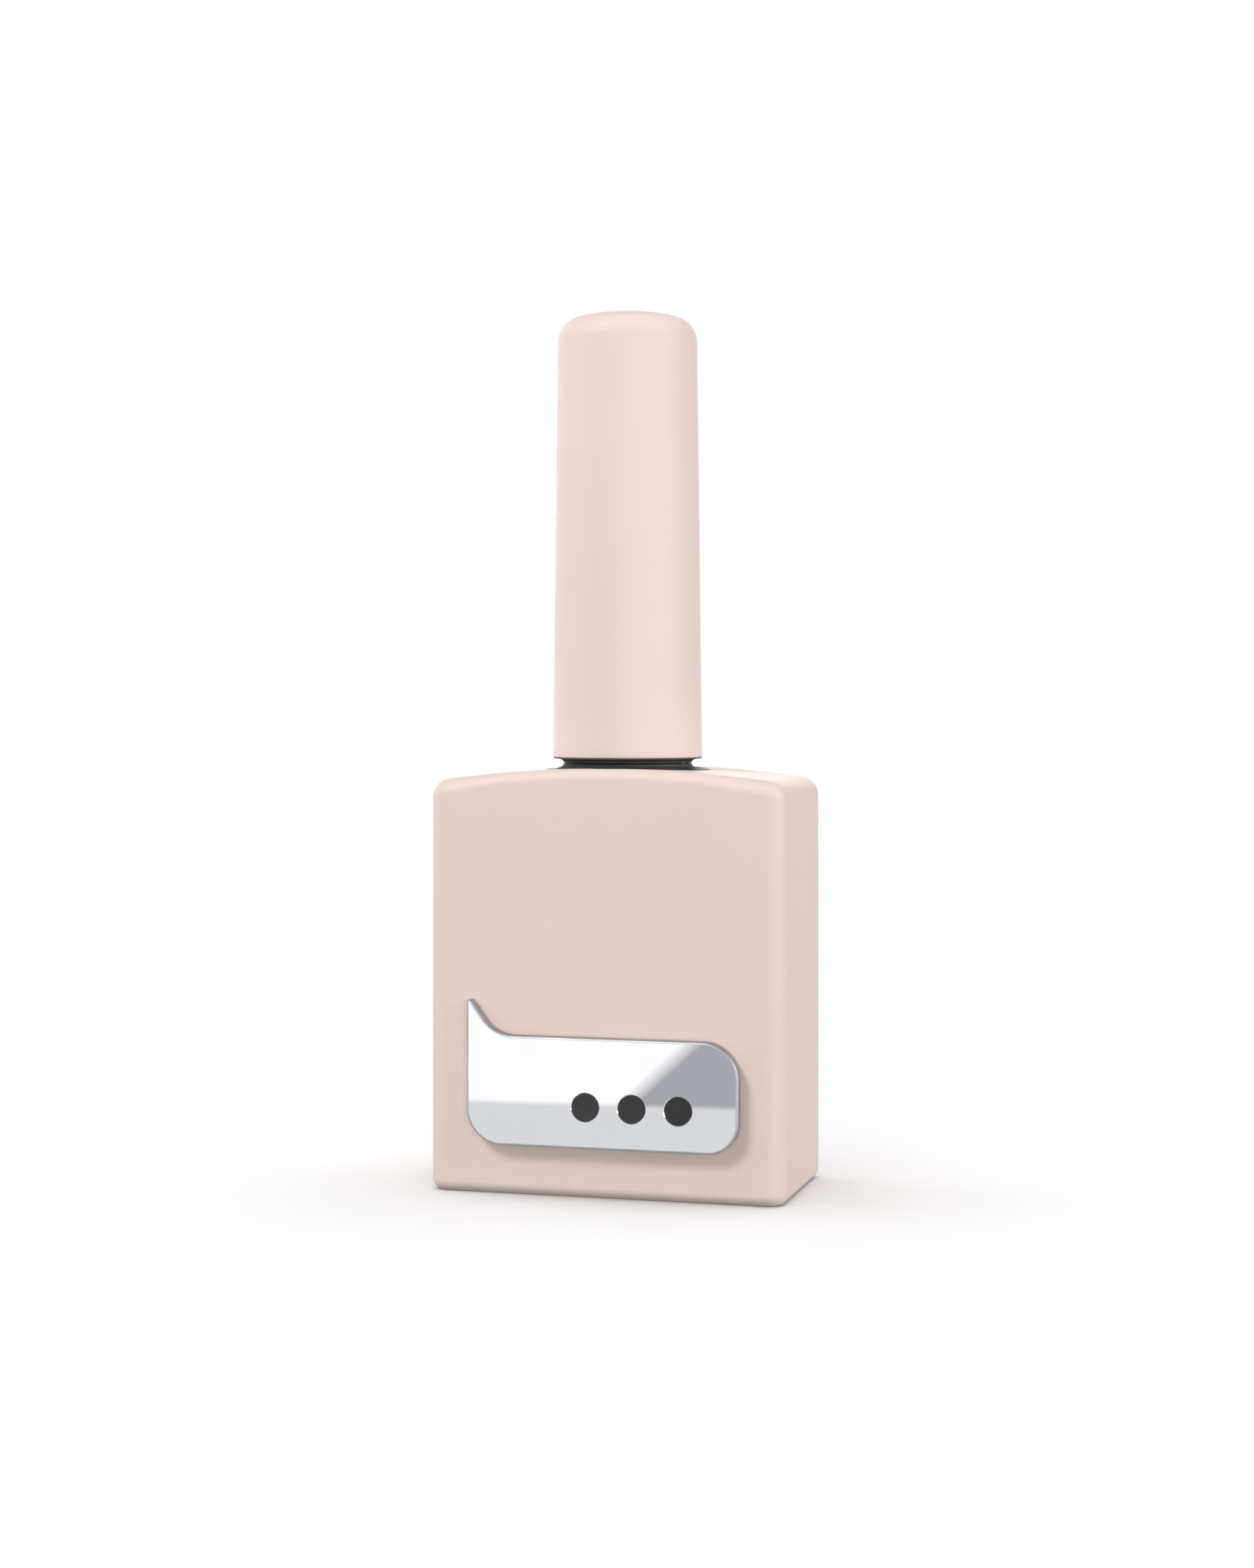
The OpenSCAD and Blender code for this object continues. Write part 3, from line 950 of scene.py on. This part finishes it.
def make_floor():
    material, nodes, links, shader = new_material("pale_floor")
    grain = noise(nodes, links, 30.0, 2.0)
    links.new(
        two_tone(nodes, links, grain, linear(230, 230, 230), linear(232, 232, 232)),
        shader.inputs["Base Color"],
    )
    shader.inputs["Roughness"].default_value = 0.9
    shader.inputs["Specular IOR Level"].default_value = 0.1
    bm = bmesh.new()
    bmesh.ops.create_grid(bm, x_segments=8, y_segments=8, size=floor_half)
    floor = link("floor", bm, [material])
    # light thrown up by the floor would thin the shadow under the badge
    floor.visible_diffuse = False
    return floor


def flag_lights(lights, obj, state):
    """Lets lights fall on one object alone (INCLUDE), or on everything but it (EXCLUDE)."""
    linked = bpy.data.collections.new(state.lower())
    linked.objects.link(obj)
    linked.collection_objects[0].light_linking.link_state = state
    for light in lights:
        light.light_linking.receiver_collection = linked


def make_camera():
    data = bpy.data.cameras.new("camera")
    data.lens = 59.3
    data.sensor_width = 36
    data.shift_x = -0.0005
    data.shift_y = -0.0525
    data.clip_start = 0.01
    camera = bpy.data.objects.new("camera", data)
    camera.location = eye * MM
    camera.rotation_euler = (math.pi / 2, 0, azimuth)
    bpy.context.scene.collection.objects.link(camera)
    bpy.context.scene.camera = camera


def make_world():
    """White surround, seen at full strength by the camera and dimmer as a light source."""
    world = bpy.data.worlds.new("studio")
    world.use_nodes = True
    nodes = world.node_tree.nodes
    links = world.node_tree.links
    path = nodes.new("ShaderNodeLightPath")
    strength = remap(nodes, links, path.outputs["Is Camera Ray"], surround, 1.0, 0.0, 1.0)
    background = nodes["Background"]
    background.inputs["Color"].default_value = (1, 1, 1, 1)
    links.new(strength, background.inputs["Strength"])
    bpy.context.scene.world = world


def only_in_reflections(obj):
    """Keeps a studio card out of the picture and out of the light on matte surfaces."""
    obj.visible_camera = False
    obj.visible_diffuse = False
    obj.visible_shadow = False
    obj.visible_transmission = False
    obj.visible_volume_scatter = False


def seen_in_badge(x, z):
    """Where the camera sees a point of the card, for a point of the badge that mirrors it."""
    share = card_distance / (plate_low[1] - eye.y)
    return x + (x - eye.x) * share, z + (z - eye.z) * share


def card_material():
    """White board with a grey lower band and a dark flag across its right, edged softly."""
    material = bpy.data.materials.new("card")
    material.use_nodes = True
    nodes = material.node_tree.nodes
    links = material.node_tree.links
    nodes.clear()
    coordinates = nodes.new("ShaderNodeTexCoord")

    def beyond(first, second, softness):
        """0 on the right of a line from first to second, and 1 on its left, with a soft edge."""
        direction = Vector((first[1] - second[1], 0, second[0] - first[0])).normalized()
        reach = direction.x * first[0] + direction.z * first[1]
        dot = nodes.new("ShaderNodeVectorMath")
        dot.operation = "DOT_PRODUCT"
        dot.inputs[1].default_value = direction
        links.new(coordinates.outputs["Object"], dot.inputs[0])
        low, high = (reach - softness) * MM, (reach + softness) * MM
        return remap(nodes, links, dot.outputs["Value"], 0, 1, low, high)

    band = [seen_in_badge(*point) for point in band_line]
    flag = [seen_in_badge(*point) for point in flag_line]
    flagged = two_tone(
        nodes, links, beyond(*flag, flag_softness),
        linear(168, 169, 175), (card_white, card_white, card_white, 1),
    )
    graded = nodes.new("ShaderNodeMix")
    graded.data_type = "RGBA"
    graded.inputs["A"].default_value = linear(218, 219, 222)
    links.new(beyond(*band, band_softness), graded.inputs["Factor"])
    links.new(flagged, graded.inputs["B"])
    light = nodes.new("ShaderNodeEmission")
    links.new(graded.outputs["Result"], light.inputs["Color"])
    output = nodes.new("ShaderNodeOutputMaterial")
    links.new(light.outputs["Emission"], output.inputs["Surface"])
    return material


def make_card():
    bm = bmesh.new()
    bm.faces.new([bm.verts.new((x, 0, z)) for x, z in card_corners])
    card = link("reflector_card", bm, [card_material()])
    card.location.y = (plate_low[1] - card_distance) * MM
    only_in_reflections(card)


# viewpoint, in millimetres
azimuth = math.radians(15.4)
eye = Vector((263.4 * math.sin(azimuth), -263.4 * math.cos(azimuth), 49.03))

# what the badge mirrors: a board that stands in front of it. Lines run between points of the badge.
card_distance = 20
card_corners = [(-36, -3), (26, -3), (26, 34), (-36, 34)]
card_white = 1.02
band_line = ((-13.4, 9.4), (14, 9.7))
band_softness = 0.28
flag_line = ((3.0, 9.9), (9.5, 15.9))
flag_softness = 0.85

floor_half = 6000
surround = 0.3                   # strength of the white surround as a light

make_camera()
make_world()
make_card()
studio_floor = make_floor()
# azimuth, elevation, distance, width, height (m) and power (W)
studio_lights = [
    soft_light("key", -34, 43, 0.9, 0.25, 0.25, 4.7),
    soft_light("fill_right", 82, 8, 0.8, 0.3, 0.6, 5.1),
    soft_light("fill_left", -75, 12, 0.8, 0.3, 0.6, 1.4),
    soft_light("fill_front", 20, 2, 0.9, 0.5, 0.3, 3.1),
    soft_light("back_centre", -172, 12, 0.8, 0.5, 0.5, 2.6),
    soft_light("back_left", -130, 12, 0.8, 0.5, 0.5, 1.6),
]
# azimuth, elevation, spread and strength
floor_lights = [
    soft_sun("sun_left", -100, 58, 50, 0.84),
    soft_sun("sun_right", 125, 58, 50, 0.54),
    soft_sun("sun_back", 180, 50, 60, 0.42),
    soft_sun("sun_front", 0, 60, 50, 0.7),
    soft_sun("sun_top", 16, 85, 80, 1.0),
]
flag_lights(studio_lights, studio_floor, "EXCLUDE")
flag_lights(floor_lights, studio_floor, "INCLUDE")
bpy.context.scene.view_settings.view_transform = "Standard"
